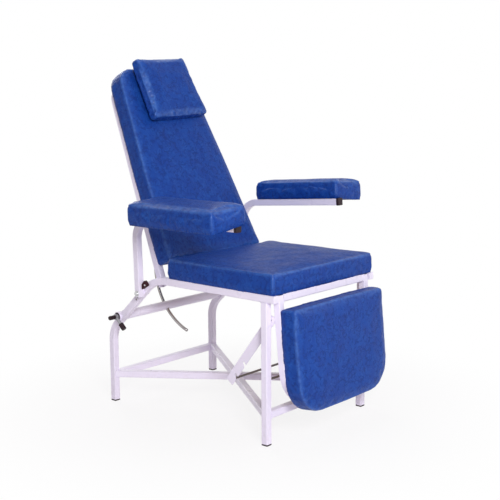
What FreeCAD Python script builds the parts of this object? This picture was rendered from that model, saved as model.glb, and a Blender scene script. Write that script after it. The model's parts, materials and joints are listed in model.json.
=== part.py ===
# Phlebotomy chair: a fixed frame of square tube, a reclining back, two tipping armrests,
# a swinging calf rest and the notched stay that holds it up.
# Lengths are in millimetres and angles in degrees. +Z is up, the chair faces -Y, and +X is the
# sitter's left. The origin is on the floor, under the middle of the chair.
import FreeCAD, Part
import math
import os
import re
import Sketcher
from FreeCAD import Placement, Rotation, Vector

SIZES = {
    # Square tube of the whole frame
    "tube": 25.0,
    "wall": 1.5,
    "tube_corner": 3.0,
    "tube_bevel": 2.0,
    # Fixed base
    "front_y": -379.3,
    "base_width": 563.3,
    "rail_top": 509.0,
    "rail_overhang": 29.0,
    "rear_leg_setback": 753.5,
    "foot_height": 5.0,
    "rail_straight": 533.0,
    "rail_slope": 43.0,
    "rail_bend": 160.0,
    "leg_bend": 100.0,
    "lower_rail_height": 103.0,
    "brace_bend": 50.0,
    "brace_height": 105.0,
    "seat_rail_front": 95.0,
    "seat_rail_rear": 400.0,
    "end_cap": 2.0,
    "plug_fit": 0.2,
    "plug_depth": 18.0,
    # Rod across the front legs
    "catch_diameter": 8.0,
    "catch_height": 221.5,
    # Round cross tube, which carries the recline clamp
    "cross_tube": 34.0,
    "cross_wall": 2.0,
    "cross_along": 247.7,
    "cross_rise": 10.2,
    "cross_overhang": 7.0,
    # Seat
    "board": 8.0,
    "board_inset": 9.0,
    "seat_gap": 2.5,
    "seat_thickness": 75.0,
    "seat_hinge_gap": 69.0,
    "seat_corner": 14.0,
    "seat_overhang": 28.0,
    "seat_board_front": 34.0,
    "crown": 8.0,
    "side_bow_share": 0.012,
    "edge_draw": 6.0,
    # Backrest, measured along the back from the hinge
    "back_hinge": 528.0,
    "back_hinge_drop": 10.4,
    "back_tilt": 26.0,
    "back_side_gap": 4.65,
    "back_taper": 0.11,
    "back_foot": 20.0,
    "back_height": 780.0,
    "back_corner": 72.0,
    "back_pad_side": 6.0,
    "back_pad_low": 50.0,
    "back_pad_high": 812.0,
    "back_pad_taper": 0.095,
    "back_pad_reach": 5.0,
    "back_pad_thickness": 72.0,
    "back_pad_corner": 70.0,
    "upper_bar_height": 560.0,
    "back_pad_gap": 1.2,
    "hinge_pin": 10.0,
    "hinge_head": 16.0,
    "hinge_head_height": 4.0,
    "head_clearance": 1.5,
    "washer_clearance": 1.3,
    "washer": 18.0,
    "hinge_play": 0.05,
    "side_play": 0.3,
    # Arc rod of the recline, centred on the hinge
    "arc_rod": 12.0,
    "arc_x": -40.0,
    "arc_free_end": 71.5,
    "rod_play": 0.7,
    "hole_play": 2.0,
    "bush_length": 32.0,
    # Head pillow
    "pillow_low_width": 296.0,
    "pillow_high_width": 264.0,
    "pillow_height": 244.0,
    "pillow_thickness": 49.0,
    "pillow_place": 710.0,
    "pillow_side": 22.0,
    "pillow_turn": 3.0,
    "pillow_corner": 16.0,
    "tape": 2.0,
    "tape_width": 25.0,
    "tape_length": 150.0,
    "tape_spread": 110.0,
    # Recline lever
    "spindle": 12.0,
    "hub": 20.0,
    "hub_length": 12.0,
    "knob": 16.0,
    "knob_length": 26.0,
    "lever_length": 52.0,
    "lever_rod": 11.0,
    "lever_drop": 42.0,
    "lever_cap": 19.0,
    "lever_cap_length": 26.0,
    # Armrests
    "arm_height": 730.7,
    "arm_post": 589.0,
    "arm_foot_drop": 13.0,
    "arm_front": 112.0,
    "arm_post_lean": 8.0,
    "arm_bend": 78.0,
    "arm_hinge_drop": 2.3,
    "arm_bolt": 10.0,
    "arm_bolt_head": 17.0,
    "arm_bolt_head_height": 6.0,
    "arm_tip_left": 4.2,
    "arm_cap_length": 3.0,
    "arm_pad_front": 88.0,
    "arm_pad_length": 388.0,
    "arm_pad_left_shift": 28.0,
    "arm_pad_overlap": 1.65,
    "arm_pad_sag": 4.0,
    "arm_pad_width": 160.0,
    "arm_pad_thickness": 68.0,
    "arm_pad_corner": 15.0,
    "stop_length": 30.0,
    "stop_face": 14.0,
    "stop_relief": 14.0,
    "stop_thickness": 14.0,
    "rivet": 6.0,
    "rivet_height": 1.5,
    # Calf rest, measured from its hinge
    "calf_hinge": 15.0,
    "calf_hinge_drop": 14.0,
    "calf_side_gap": 5.05,
    "calf_lean": 5.5,
    "calf_length": 372.0,
    "calf_frame_top": 10.0,
    "calf_corner": 118.0,
    "calf_pad_top": 36.0,
    "calf_pad_bottom": 388.0,
    "calf_pad_inset": 1.6,
    "calf_pad_thickness": 66.0,
    "calf_pad_corner": 110.0,
    "calf_pad_shoulder": 16.0,
    # Notched stay
    "stay_pivot": 71.0,
    "stay_rear": 26.5,
    "lug_width": 24.0,
    "lug_thickness": 4.0,
    "bar_width": 33.0,
    "bar_thickness": 2.4,
    "bar_angle": 37.6,
    "bar_tail": 305.0,
    "first_notch": 201.0,
    "notch_pitch": 61.0,
    "notch_depth": 15.0,
    "notch_undercut": 3.5,
    "notch_ramp": 14.0,
    "stay_rod": 8.0,
    "stay_rod_place": 288.0,
    "stay_rod_offset": 4.0,
    "stay_pin": 8.0,
    "stay_gap": 0.6,
}

# Places that follow from the sizes, written once
DERIVED = {
    "half_base": "base_width / 2",
    "rail_x": "half_base - tube / 2",
    "rail_inner": "half_base - tube",
    "rail_z": "rail_top - tube / 2",
    "rail_start": "front_y - rail_overhang",
    "front_leg_y": "front_y + tube / 2",
    "rear_leg_y": "front_y + rear_leg_setback + tube / 2",
    "bend_y": "front_y + rail_straight",
    "leg_bend_z": "rail_z - (rear_leg_y - bend_y) * tan(rail_slope)",
    "leg_gap": "rear_leg_setback - tube",
    "brace_half": "(rear_leg_y - front_leg_y) / 2",
    "brace_guess": "atan(rail_x / brace_half)",
    "brace_point": "tube / 2 - brace_bend * (1 / cos(brace_guess) - 1)",
    "brace_turn": "atan((rail_x - brace_point) / brace_half)",
    "cross_bore": "cross_tube - 2 * cross_wall",
    "cross_y": "bend_y + cross_along * cos(rail_slope) + cross_rise * sin(rail_slope)",
    "cross_z": "rail_z - cross_along * sin(rail_slope) + cross_rise * cos(rail_slope)",
    "back_y": "front_y + back_hinge",
    "back_z": "rail_z - back_hinge_drop",
    "arc_radius": "sqrt((cross_y - back_y) ^ 2 + (cross_z - back_z) ^ 2)",
    "clamp_angle": "atan((back_z - cross_z) / (cross_y - back_y))",
    "seat_front": "front_y - seat_overhang",
    "seat_bottom": "rail_top + seat_gap",
    "seat_length": "back_y - seat_hinge_gap - seat_front",
    "back_half_width": "rail_inner - back_side_gap",
    "back_pad_half_width": "back_half_width + back_pad_reach",
    "back_centre_x": "back_half_width - tube / 2",
    "back_inner": "back_half_width - tube / cos(atan(back_taper))",
    "arm_x": "half_base + tube / 2",
    "arm_y": "front_y + arm_post",
    "arm_z": "rail_z - (arm_y - bend_y) * tan(rail_slope) - arm_hinge_drop",
    "arm_tube_z": "arm_height - tube / 2",
    "calf_y": "front_y - calf_hinge",
    "calf_z": "rail_top - calf_hinge_drop",
    "calf_half_width": "rail_inner - calf_side_gap",
    "calf_pad_half_width": "calf_half_width - calf_pad_inset",
    "calf_x": "calf_half_width - tube / 2",
    "stay_x": "calf_half_width + stay_gap",
    "arm_pad_x": "half_base - arm_pad_overlap + arm_pad_width / 2",
}

doc = FreeCAD.newDocument("PhlebotomyChair")
sheet = doc.addObject("Spreadsheet::Sheet", "Sizes")
for row, (alias, size) in enumerate(SIZES.items(), start=1):
    sheet.set("A%d" % row, alias)
    sheet.set("B%d" % row, str(size))
    sheet.setAlias("B%d" % row, alias)
doc.recompute()

X_AXIS = Vector(1, 0, 0)
Y_AXIS = Vector(0, 1, 0)
Z_AXIS = Vector(0, 0, 1)
PIECES = []


def expand(text):
    """Turn a formula of size names into an expression on the sheet's cells."""
    def cell(match):
        word = match.group(0)
        if word in DERIVED:
            return "(" + expand(DERIVED[word]) + ")"
        if word in SIZES:
            return "Sizes." + word
        return word
    return re.sub(r"[a-z_]+", cell, text)


def value(text):
    """Number that a formula of size names gives."""
    result = sheet.evalExpression(expand(text))
    return float(getattr(result, "Value", result))


def bind(item, path, text):
    item.setExpression(path, expand(text))


def place(item, x="0", y="0", z="0", axis=None, angle="0"):
    """Put an item at a point, turned about an axis by an angle."""
    turn = Rotation(axis, value(angle)) if axis else Rotation()
    item.Placement = Placement(Vector(value(x), value(y), value(z)), turn)
    for name, text in (("x", x), ("y", y), ("z", z)):
        bind(item, "Placement.Base." + name, text)
    if axis:
        bind(item, "Placement.Rotation.Angle", angle)
    return item


def keep(item, label):
    """Name an item as one of the chair's pieces."""
    item.Label = label
    PIECES.append(item)
    return item


# Sketches

def new_body(name):
    return doc.addObject("PartDesign::Body", name)


def sketch_on(body, role, u="0", v="0", lift="0", axis=None, angle="0"):
    """Sketch on one of the body's own planes, moved in it by u and v and off it by lift."""
    plane = [f for f in body.Origin.OriginFeatures if f.Role == role][0]
    sketch = body.newObject("Sketcher::SketchObject", body.Name + "_sketch")
    sketch.AttachmentSupport = [(plane, "")]
    sketch.MapMode = "FlatFace"
    turn = Rotation(axis, value(angle)) if axis else Rotation()
    sketch.AttachmentOffset = Placement(Vector(value(u), value(v), value(lift)), turn)
    for name, text in (("x", u), ("y", v), ("z", lift)):
        bind(sketch, "AttachmentOffset.Base." + name, text)
    if axis:
        bind(sketch, "AttachmentOffset.Rotation.Angle", angle)
    return sketch


def fix_point(sketch, geometry, end, u, v):
    for kind, text in (("DistanceX", u), ("DistanceY", v)):
        number = sketch.addConstraint(Sketcher.Constraint(kind, geometry, end, value(text)))
        bind(sketch, "Constraints[%d]" % number, text)


def draw_circle(sketch, u, v, diameter):
    centre = Vector(value(u), value(v), 0)
    number = sketch.addGeometry(Part.Circle(centre, Z_AXIS, value(diameter) / 2))
    fix_point(sketch, number, 3, u, v)
    size = sketch.addConstraint(Sketcher.Constraint("Diameter", number, value(diameter)))
    bind(sketch, "Constraints[%d]" % size, diameter)


def draw_path(sketch, corners, closed=True):
    """Draw lines through corners (u, v, radius), with a tangent arc where there is a radius."""
    points = [Vector(value(u), value(v), 0) for u, v, radius in corners]
    count = len(corners)
    ends = []
    for i, (u, v, radius) in enumerate(corners):
        if radius is None:
            ends.append((points[i], points[i], None, 0, 0))
            continue
        back = (points[i - 1] - points[i]).normalize()
        ahead = (points[(i + 1) % count] - points[i]).normalize()
        half = back.getAngle(ahead) / 2
        run = value(radius) / math.tan(half)
        centre = points[i] + (back + ahead).normalize() * (value(radius) / math.sin(half))
        first = points[i] + back * run
        last = points[i] + ahead * run
        left = ahead.cross(back).z > 0
        begin, finish = (first, last) if left else (last, first)
        angles = [math.atan2(p.y - centre.y, p.x - centre.x) for p in (begin, finish)]
        circle = Part.Circle(centre, Z_AXIS, value(radius))
        arc = sketch.addGeometry(Part.ArcOfCircle(circle, angles[0], angles[1]))
        ends.append((first, last, arc, 1 if left else 2, 2 if left else 1))
    lines = []
    for i in range(count if closed else count - 1):
        begin = ends[i][1]
        finish = ends[(i + 1) % count][0]
        lines.append(sketch.addGeometry(Part.LineSegment(begin, finish)))
    for i, (u, v, radius) in enumerate(corners):
        before = lines[i - 1] if closed or i > 0 else None
        after = lines[i] if closed or i < count - 1 else None
        arc, arc_in, arc_out = ends[i][2:]
        if arc is None:
            if before is not None and after is not None:
                sketch.addConstraint(Sketcher.Constraint("Coincident", before, 2, after, 1))
            fix_point(sketch, after if after is not None else before, 1 if after is not None else 2, u, v)
            continue
        sketch.addConstraint(Sketcher.Constraint("Tangent", before, 2, arc, arc_in))
        sketch.addConstraint(Sketcher.Constraint("Tangent", arc, arc_out, after, 1))
        size = sketch.addConstraint(Sketcher.Constraint("Radius", arc, value(radius)))
        bind(sketch, "Constraints[%d]" % size, radius)
        corner = sketch.addGeometry(Part.Point(points[i]), True)
        sketch.addConstraint(Sketcher.Constraint("PointOnObject", corner, 1, before))
        sketch.addConstraint(Sketcher.Constraint("PointOnObject", corner, 1, after))
        fix_point(sketch, corner, 1, u, v)


def rectangle(u_low, v_low, u_high, v_high, radius=None):
    """Corners of a rectangle, anticlockwise."""
    return [(u_low, v_low, radius), (u_high, v_low, radius),
            (u_high, v_high, radius), (u_low, v_high, radius)]


def square(side, radius=None):
    half = side + " / 2"
    return rectangle("-(%s)" % half, "-(%s)" % half, half, half, radius)


def bevelled_square():
    """Outline of the square tube, with its edges bevelled."""
    side = "tube / 2"
    near = "(tube / 2 - tube_bevel)"
    corners = [("-" + near, "-" + side), (near, "-" + side), (side, "-" + near), (side, near),
               (near, side), ("-" + near, side), ("-" + side, near), ("-" + side, "-" + near)]
    return [(u, v, None) for u, v in corners]


def draw_tube_section(sketch):
    draw_path(sketch, bevelled_square())
    draw_path(sketch, square("(tube - 2 * wall)"))


# Features

def pad(body, sketch, length, middle=False, back=False):
    feature = body.newObject("PartDesign::Pad", body.Name + "_pad")
    feature.Profile = sketch
    bind(feature, "Length", length)
    feature.SideType = "Symmetric" if middle else "One side"
    feature.Reversed = back
    doc.recompute()
    return feature


def cut_through(body, sketch):
    """Cut a sketch right through the body, both ways from its plane."""
    feature = body.newObject("PartDesign::Pocket", body.Name + "_cut")
    feature.Profile = sketch
    feature.Type = "ThroughAll"
    feature.SideType = "Symmetric"
    before = body.Shape.Volume
    doc.recompute()
    if body.Shape.Volume >= before:
        raise RuntimeError("nothing cut from " + body.Name)
    return feature


def drill(body, role, spots, diameter):
    sketch = sketch_on(body, role)
    for u, v in spots:
        draw_circle(sketch, u, v, diameter)
    cut_through(body, sketch)


def straight_tube(name, role, length):
    """Square tube along the normal of one of its planes, centred on its own origin."""
    body = new_body(name)
    section = sketch_on(body, role)
    draw_tube_section(section)
    pad(body, section, length, middle=True)
    return body


def bent_tube(name, role, corners, section_role, start, axis=None, angle="0"):
    """Square tube swept along a path of straight runs and tangent bends."""
    body = new_body(name)
    path = sketch_on(body, role)
    draw_path(path, corners, closed=False)
    section = sketch_on(body, section_role, *start, axis=axis, angle=angle)
    draw_tube_section(section)
    doc.recompute()
    pipe = body.newObject("PartDesign::AdditivePipe", name + "_pipe")
    pipe.Profile = section
    pipe.Spine = path
    doc.recompute()
    return body


def box(name, x, y, z, length, width, height):
    item = doc.addObject("Part::Box", name)
    for path, text in (("Length", length), ("Width", width), ("Height", height)):
        bind(item, path, text)
    return place(item, x, y, z)


def rod_along_x(name, x, y, z, diameter, length):
    """Round bar along +X from a point on its axis."""
    item = doc.addObject("Part::Cylinder", name)
    bind(item, "Radius", "(%s) / 2" % diameter)
    bind(item, "Height", length)
    place(item, x, y, z)
    item.Placement = Placement(item.Placement.Base, Rotation(Y_AXIS, 90))
    return item


def cut(name, base, tool):
    item = doc.addObject("Part::Cut", name)
    item.Base = base
    item.Tool = tool
    return item


def common(name, base, tool):
    item = doc.addObject("Part::Common", name)
    item.Base = base
    item.Tool = tool
    return item


def fuse(name, items):
    item = doc.addObject("Part::MultiFuse", name)
    item.Shapes = items
    return item


def group(name, items):
    """Separate solids that share one name, such as a set of screws."""
    item = doc.addObject("Part::Compound", name)
    item.Links = items
    return keep(item, name)


# Soft forms

def inset_outline(corners, inset):
    """Move each side of a convex anticlockwise outline inward, and shrink its corner radii."""
    count = len(corners)
    moved = []
    for i, (point, radius) in enumerate(corners):
        back = (point - corners[i - 1][0]).normalize()
        ahead = (corners[(i + 1) % count][0] - point).normalize()
        shift = (Vector(-back.y, back.x, 0) + Vector(-ahead.y, ahead.x, 0))
        shift = shift * (inset / (1 + back.dot(ahead)))
        moved.append((point + shift, max(radius - inset, radius / 3)))
    return moved


def bowed_ring(corners, height):
    """Points round slightly bowed sides and round corners at one height."""
    count = len(corners)
    arcs = []
    for i, (point, radius) in enumerate(corners):
        back = (corners[i - 1][0] - point).normalize()
        ahead = (corners[(i + 1) % count][0] - point).normalize()
        half = back.getAngle(ahead) / 2
        centre = point + (back + ahead).normalize() * (radius / math.sin(half))
        first = point + back * (radius / math.tan(half)) - centre
        sweep = math.degrees(math.pi - 2 * half)
        arcs.append([centre + Rotation(Z_AXIS, sweep * step / CORNER_STEPS).multVec(first)
                     for step in range(CORNER_STEPS + 1)])
    points = []
    for i, arc in enumerate(arcs):
        follow = arcs[(i + 1) % count][0]
        along = (follow - arc[-1]).normalize()
        outward = Vector(along.y, -along.x, 0)
        half = (follow - arc[-1]).Length / 2
        points += arc + [(arc[-1] + follow) * 0.5 + outward * half * value("side_bow_share")]
    return [point + Vector(0, 0, height) for point in points]


def flat_face(points):
    return Part.Face(Part.makePolygon(points + points[:1]))


def skinned(rings):
    """Solid between rings of points whose sides run parallel, so that every face is flat."""
    faces = [flat_face(rings[0]), flat_face(rings[-1])]
    for low, high in zip(rings, rings[1:]):
        for i in range(len(low)):
            faces.append(flat_face([low[i - 1], low[i], high[i], high[i - 1]]))
    solid = Part.Solid(Part.Shell(faces))
    if solid.Volume < 0:
        solid.reverse()
    return solid


CORNER_STEPS = 6
# Height and inset of a cushion's sections. The sides are drawn in at the board and stand full
# at mid height: shares of the shoulder height and of the edge draw. The top is crowned: shares
# of the crown and of the reach from the edge to the middle.
EDGE_SHARES = ((0.0, 1.0), (0.12, 0.0), (0.8, 0.0), (0.94, 0.5), (1.0, 1.4))
CROWN_SHARES = ((0.55, 0.22), (1.0, 0.6))


def cushion(corners, thickness, crown, reach):
    """Soft block on the XY plane with drawn-in sides and a crowned top."""
    shoulder = thickness - crown
    sections = [(share * shoulder, inset * value("edge_draw")) for share, inset in EDGE_SHARES]
    sections += [(shoulder + share * crown, inset * reach) for share, inset in CROWN_SHARES]
    return skinned([bowed_ring(inset_outline(corners, inset), height)
                    for height, inset in sections])


def without(form, spot, solid):
    """Form, in its own place, with another piece's space taken out of it."""
    taken = solid.Shape.copy()
    taken.Placement = spot.inverse().multiply(taken.Placement)
    return max(form.cut(taken).Solids, key=lambda part: part.Volume)


def outline(*corners):
    """Corner points and radii of a soft form's outline, from formulas."""
    return [(Vector(value(u), value(v), 0), value(radius)) for u, v, radius in corners]


def soft_piece(label, shape, placement):
    item = doc.addObject("Part::Feature", label)
    item.Shape = shape
    item.Placement = placement
    return keep(item, label)


SIDES = (("right", -1), ("left", 1))


# Base: side frames, legs, rails and floor braces

def build_side_frame(side, sign):
    path = [("rail_start", "rail_z", None), ("bend_y", "rail_z", "rail_bend"),
            ("rear_leg_y", "leg_bend_z", "leg_bend"), ("rear_leg_y", "foot_height", None)]
    body = bent_tube("side_frame_" + side, "YZ_Plane", path, "XZ_Plane",
                     ("0", "rail_z", "-rail_start"))
    inner = sketch_on(body, "YZ_Plane")
    draw_circle(inner, "back_y", "back_z", "hinge_pin + 2 * hinge_play")
    draw_circle(inner, "calf_y", "calf_z", "hinge_pin + 2 * hinge_play")
    wall_cut = body.newObject("PartDesign::Pocket", body.Name + "_pin_holes")
    wall_cut.Profile = inner
    wall_cut.Type = "Length"
    bind(wall_cut, "Length", "tube")
    wall_cut.Reversed = sign < 0
    drill(body, "YZ_Plane", [("arm_y", "arm_z")], "arm_bolt + 2 * hinge_play")
    if side == "right":
        drill(body, "YZ_Plane", [("cross_y", "cross_z")], "spindle + 2 * hole_play")
    place(body, "%d * rail_x" % sign)
    return keep(body, body.Name)


def build_base():
    for side, sign in SIDES:
        build_side_frame(side, sign)
        leg = straight_tube("front_leg_" + side, "XY_Plane", "rail_top - tube - foot_height")
        place(leg, "%d * rail_x" % sign, "front_leg_y", "(rail_top - tube + foot_height) / 2")
        keep(leg, leg.Name)
        brace_path = [("%d * rail_x" % sign, "front_leg_y", None),
                      ("%d * brace_point" % sign, "front_leg_y + brace_half", "brace_bend"),
                      ("%d * rail_x" % sign, "rear_leg_y", None)]
        tube = bent_tube("brace_tube_" + side, "XY_Plane", brace_path, "XZ_Plane",
                         ("%d * rail_x" % sign, "0", "-front_leg_y"),
                         Y_AXIS, "%d * brace_turn" % sign)
        place(tube, z="brace_height")
        span = box("brace_span_" + side, "0" if sign > 0 else "-half_base", "front_y + tube",
                   "brace_height - tube", "half_base", "leg_gap", "2 * tube")
        keep(common("floor_brace_" + side, tube, span), "floor_brace_" + side)
    for name, y in (("lower_front_rail", "front_leg_y"), ("lower_rear_rail", "rear_leg_y")):
        rail = straight_tube(name, "YZ_Plane", "2 * rail_inner")
        keep(place(rail, "0", y, "lower_rail_height"), name)
    for name, y in (("seat_rail_front", "seat_rail_front"), ("seat_rail_rear", "seat_rail_rear")):
        rail = straight_tube(name, "YZ_Plane", "2 * rail_inner")
        keep(place(rail, "0", "front_y + " + y, "rail_z"), name)
    catch = rod_along_x("catch_rod", "-rail_inner", "front_leg_y", "catch_height",
                        "catch_diameter", "2 * rail_inner")
    keep(catch, "catch_rod")


def build_foot_plugs():
    plugs = []
    for side, sign in SIDES:
        for end, y in (("front", "front_leg_y"), ("rear", "rear_leg_y")):
            body = new_body("foot_plug_%s_%s" % (end, side))
            flange = sketch_on(body, "XY_Plane")
            draw_path(flange, bevelled_square())
            pad(body, flange, "foot_height")
            stem = sketch_on(body, "XY_Plane", lift="foot_height")
            draw_path(stem, square("(tube - 2 * wall - plug_fit)"))
            pad(body, stem, "plug_depth")
            plugs.append(place(body, "%d * rail_x" % sign, y, "0"))
    group("foot_plugs", plugs)


def build_rail_caps():
    caps = []
    for side, sign in SIDES:
        body = new_body("rail_cap_" + side)
        plate = sketch_on(body, "XZ_Plane")
        draw_path(plate, bevelled_square())
        pad(body, plate, "end_cap")
        caps.append(place(body, "%d * rail_x" % sign, "rail_start", "rail_z"))
    group("rail_end_caps", caps)


def rod_way(name, diameter):
    """Straight hole through the cross tube along the arc rod's run there."""
    way = doc.addObject("Part::Cylinder", name)
    bind(way, "Radius", "(%s) / 2" % diameter)
    bind(way, "Height", "2 * cross_tube")
    return place(way, "arc_x", "cross_y - cross_tube * sin(clamp_angle)",
                 "cross_z - cross_tube * cos(clamp_angle)", -X_AXIS, "clamp_angle")


def build_cross_tube():
    start = "-(half_base + cross_overhang)"
    length = "2 * (half_base + cross_overhang)"
    outer = rod_along_x("cross_tube_outside", start, "cross_y", "cross_z", "cross_tube", length)
    bore = rod_along_x("cross_tube_bore", start, "cross_y", "cross_z", "cross_bore", length)
    tools = [bore, rod_way("arc_rod_hole", "arc_rod + 2 * hole_play")]
    for side, sign in SIDES:
        saddle = doc.addObject("Part::Box", "cross_tube_saddle_" + side)
        bind(saddle, "Length", "tube")
        bind(saddle, "Width", "2 * cross_tube")
        bind(saddle, "Height", "2 * cross_tube")
        place(saddle, "%d * rail_x - tube / 2" % sign,
              "bend_y + (cross_along - cross_tube) * cos(rail_slope)"
              " + (tube / 2 - 2 * cross_tube) * sin(rail_slope)",
              "rail_z - (cross_along - cross_tube) * sin(rail_slope)"
              " + (tube / 2 - 2 * cross_tube) * cos(rail_slope)",
              -X_AXIS, "rail_slope")
        tools.append(saddle)
    tube = cut("recline_cross_tube", outer, fuse("cross_tube_cuts", tools))
    keep(tube, "recline_cross_tube")


def build_clamp():
    """Guide bush round the arc rod, and the bush that carries the lever's spindle."""
    block = rod_along_x("clamp_block", "arc_x - bush_length / 2", "cross_y", "cross_z",
                        "cross_bore - plug_fit", "bush_length")
    bore = rod_way("clamp_bore", "arc_rod + 2 * rod_play")
    guide = cut("clamp_guide", block, bore)
    start = "-(half_base + cross_overhang)"
    ring = rod_along_x("spindle_ring", start, "cross_y", "cross_z",
                       "cross_bore - plug_fit", "cross_overhang")
    hole = rod_along_x("spindle_hole", start, "cross_y", "cross_z",
                       "spindle + 2 * hinge_play", "cross_overhang")
    group("clamp_bushes", [guide, cut("spindle_bush", ring, hole)])


# Seat

def build_seat():
    board = new_body("seat_board")
    plan = sketch_on(board, "XY_Plane")
    half = "(half_base - board_inset)"
    draw_path(plan, rectangle("-" + half, "front_y + seat_board_front - seat_overhang", half,
                              "seat_front + seat_length - board_inset", "seat_corner"))
    pad(board, plan, "board")
    keep(place(board, z="rail_top"), "seat_board")
    doc.recompute()
    long = "seat_length / 2"
    shape = cushion(outline(("-half_base", "-" + long, "seat_corner"),
                            ("half_base", "-" + long, "seat_corner"),
                            ("half_base", long, "seat_corner"),
                            ("-half_base", long, "seat_corner")),
                    value("seat_thickness"), value("crown"), value(long))
    middle = Vector(0, value("seat_front + seat_length / 2"), value("seat_bottom"))
    spot = Placement(middle, Rotation())
    soft_piece("seat_cushion", without(shape, spot, board), spot)


# Hinges of the base

def hinge_pin(name, length, head=True):
    """Pin along +X from its own origin, with a head at the far end."""
    body = new_body(name)
    shank = sketch_on(body, "YZ_Plane")
    draw_circle(shank, "0", "0", "hinge_pin")
    pad(body, shank, length)
    if head:
        cap = sketch_on(body, "YZ_Plane", lift=length)
        draw_circle(cap, "0", "0", "hinge_head")
        pad(body, cap, "hinge_head_height")
    return body


def build_hinges():
    pins = []
    washers = []
    bolts = []
    for side, sign in SIDES:
        turn = "0" if sign < 0 else "180"
        reach = "half_base - wall - back_inner + side_play + head_clearance"
        pin = hinge_pin("back_hinge_pin_" + side, reach)
        start = "%d * (half_base - wall)" % sign
        pins.append(place(pin, start, "back_y", "back_z", Z_AXIS, turn))
        ring = new_body("back_hinge_washer_" + side)
        flat = sketch_on(ring, "YZ_Plane")
        draw_circle(flat, "0", "0", "washer")
        draw_circle(flat, "0", "0", "hinge_pin + 2 * hinge_play")
        pad(ring, flat, "rail_inner - back_half_width - washer_clearance")
        washers.append(place(ring, "%d * rail_inner" % sign, "back_y", "back_z", Z_AXIS, turn))
        bolt = hinge_pin("calf_hinge_pin_" + side,
                         "half_base - wall - calf_half_width + tube + wall", head=False)
        bolts.append(place(bolt, start, "calf_y", "calf_z", Z_AXIS, turn))
    group("back_hinge_pins", pins)
    group("back_hinge_washers", washers)
    group("calf_hinge_pins", bolts)


def along_slope(along, rise):
    """Point of the side view at a distance down the sloping run and a rise off its middle."""
    return ("bend_y + (%s) * cos(rail_slope) + (%s) * sin(rail_slope)" % (along, rise),
            "rail_z - (%s) * sin(rail_slope) + (%s) * cos(rail_slope)" % (along, rise))


def build_arm_stops():
    """Rubber blocks on the sloping runs, in front of the armrest posts."""
    face = "(arm_post - rail_straight - tube / 2 - side_play)"
    high = "(%s - tube / 2 * sin(rail_slope)) / cos(rail_slope)" % face
    rivets = []
    for side, sign in SIDES:
        block = new_body("arm_stop_" + side)
        profile = sketch_on(block, "YZ_Plane")
        upper_rear = along_slope(high, "tube / 2")
        upper_front = along_slope(high + " - stop_length", "tube / 2")
        lower_front = along_slope(high + " - stop_length", "-tube / 2")
        lower_rear = along_slope(high + " - stop_relief", "-tube / 2")
        heel = (upper_rear[0], upper_rear[1] + " - stop_face")
        corners = [upper_front, lower_front, lower_rear, heel, upper_rear]
        draw_path(profile, [(y, z, None) for y, z in corners])
        pad(block, profile, "stop_thickness", back=sign < 0)
        keep(place(block, "%d * half_base" % sign), "arm_stop_" + side)
        spot = along_slope(high + " - stop_length + rivet", "0")
        rivet = new_body("arm_stop_rivet_" + side)
        head = sketch_on(rivet, "YZ_Plane")
        draw_circle(head, "0", "0", "rivet")
        pad(rivet, head, "rivet_height", back=sign < 0)
        rivets.append(place(rivet, "%d * (half_base + stop_thickness)" % sign, *spot))
    group("arm_stop_rivets", rivets)


# Backrest, built upright about its hinge and then tilted back

def tilt_back(item, x="0", lift="0"):
    """Place an item made in the backrest's own axes: x, rearward off the back, up the back."""
    return place(item, x, "back_y - (%s) * cos(back_tilt)" % lift,
                 "back_z + (%s) * sin(back_tilt)" % lift, -X_AXIS, "back_tilt")


def back_spot(x, up, lift, turn=0.0):
    """Place of a soft form that lies on the front of the back."""
    hinge = Placement(Vector(0, value("back_y"), value("back_z")),
                      Rotation(-X_AXIS, value("back_tilt")))
    front = Placement(Vector(x, -lift, up), Rotation(X_AXIS, 90))
    return hinge.multiply(front).multiply(Placement(Vector(), Rotation(Z_AXIS, turn)))


def build_back_frame():
    low = "(back_centre_x + back_taper * back_foot)"
    high = "(back_centre_x - back_taper * (back_height - tube / 2))"
    top = "back_height - tube / 2"
    path = [("-" + low, "-back_foot", None), ("-" + high, top, "back_corner"),
            (high, top, "back_corner"), (low, "-back_foot", None)]
    frame = bent_tube("back_frame", "XZ_Plane", path, "XY_Plane", ("-" + low, "0", "-back_foot"),
                      Y_AXIS, "atan(back_taper)")
    drill(frame, "YZ_Plane", [("0", "0")], "hinge_pin + 2 * hinge_play")
    keep(tilt_back(frame), "back_frame")


def build_back_bars():
    for name, up in (("back_bar_lower", "arc_radius"), ("back_bar_upper", "upper_bar_height")):
        bar = new_body(name)
        front = sketch_on(bar, "XZ_Plane")
        low = "(back_inner - back_taper * (%s - tube / 2))" % up
        high = "(back_inner - back_taper * (%s + tube / 2))" % up
        draw_path(front, [("-" + low, "%s - tube / 2" % up, None), (low, "%s - tube / 2" % up, None),
                          (high, "%s + tube / 2" % up, None), ("-" + high, "%s + tube / 2" % up, None)])
        pad(bar, front, "tube", middle=True)
        hollow = sketch_on(bar, "YZ_Plane")
        inside = "(tube / 2 - wall)"
        draw_path(hollow, rectangle("-" + inside, "%s - %s" % (up, inside), inside,
                                    "%s + %s" % (up, inside)))
        cut_through(bar, hollow)
        keep(tilt_back(bar), name)


def pad_half(up):
    return "(back_pad_half_width - back_pad_taper * (%s))" % up


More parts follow.
